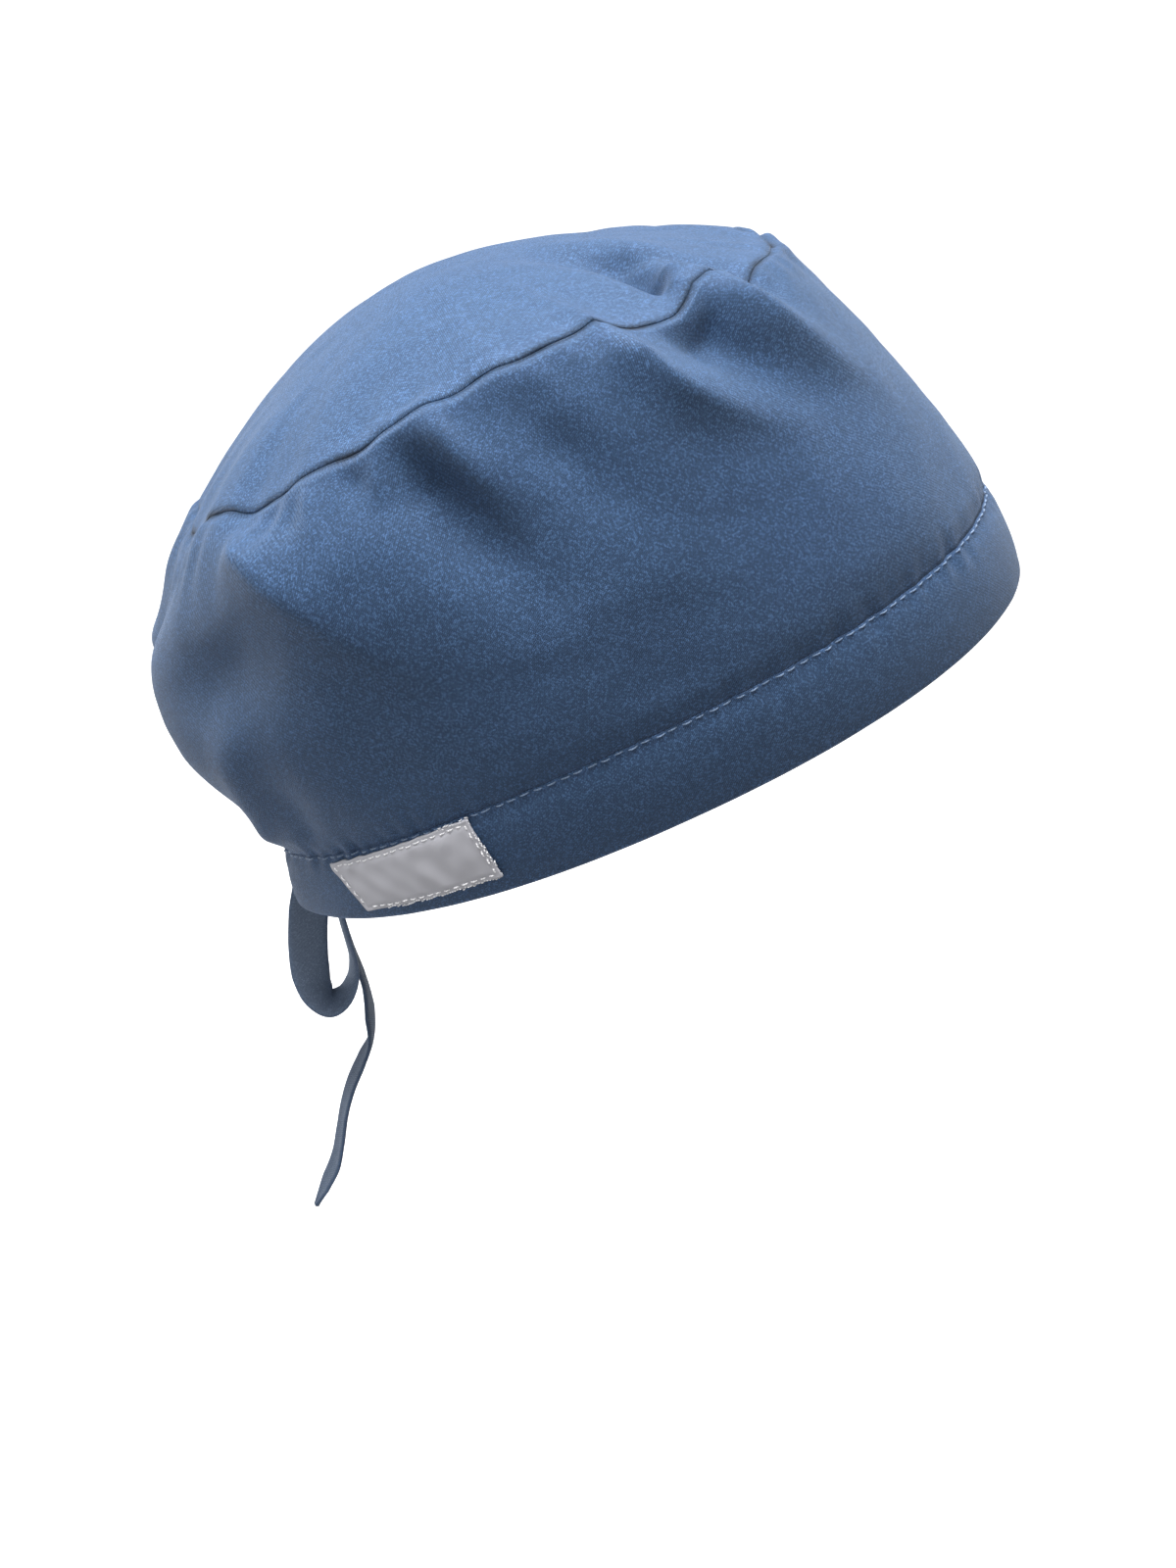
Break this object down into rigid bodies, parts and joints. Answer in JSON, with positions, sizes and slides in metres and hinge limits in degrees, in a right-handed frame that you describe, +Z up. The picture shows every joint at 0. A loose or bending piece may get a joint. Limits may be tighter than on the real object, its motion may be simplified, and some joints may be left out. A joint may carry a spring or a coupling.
{
  "type": "scrub cap",
  "caption": "Tie-back surgical scrub cap of navy cotton twill: domed crown panel gathered onto a side panel, stitched hem band, plain woven label and a half bow at the nape.",
  "frame": {"origin": "middle of the rim, where the wearer's head goes in", "axes": "+X towards the wearer's forehead, +Y towards the wearer's left, +Z up; the rim rises 24 degrees from nape to forehead as worn"},
  "size_m": [0.2246, 0.1752, 0.2705],
  "materials": {
    "cap_cloth": "navy poly-cotton twill with a slight sheen",
    "band_cloth": "the same twill, folded double and topstitched",
    "label_satin": "silver-grey woven satin, stitched round its edge",
    "tie_cloth": "the same twill, folded into a flat tape"
  },
  "bodies": {
    "root": {"crown_panel": "cap_cloth", "side_panel": "cap_cloth", "hem_band": "band_cloth", "label": "label_satin", "tie_knot": "tie_cloth", "tie_loop": "tie_cloth", "tie_tail": "tie_cloth"}
  },
  "joints": []
}
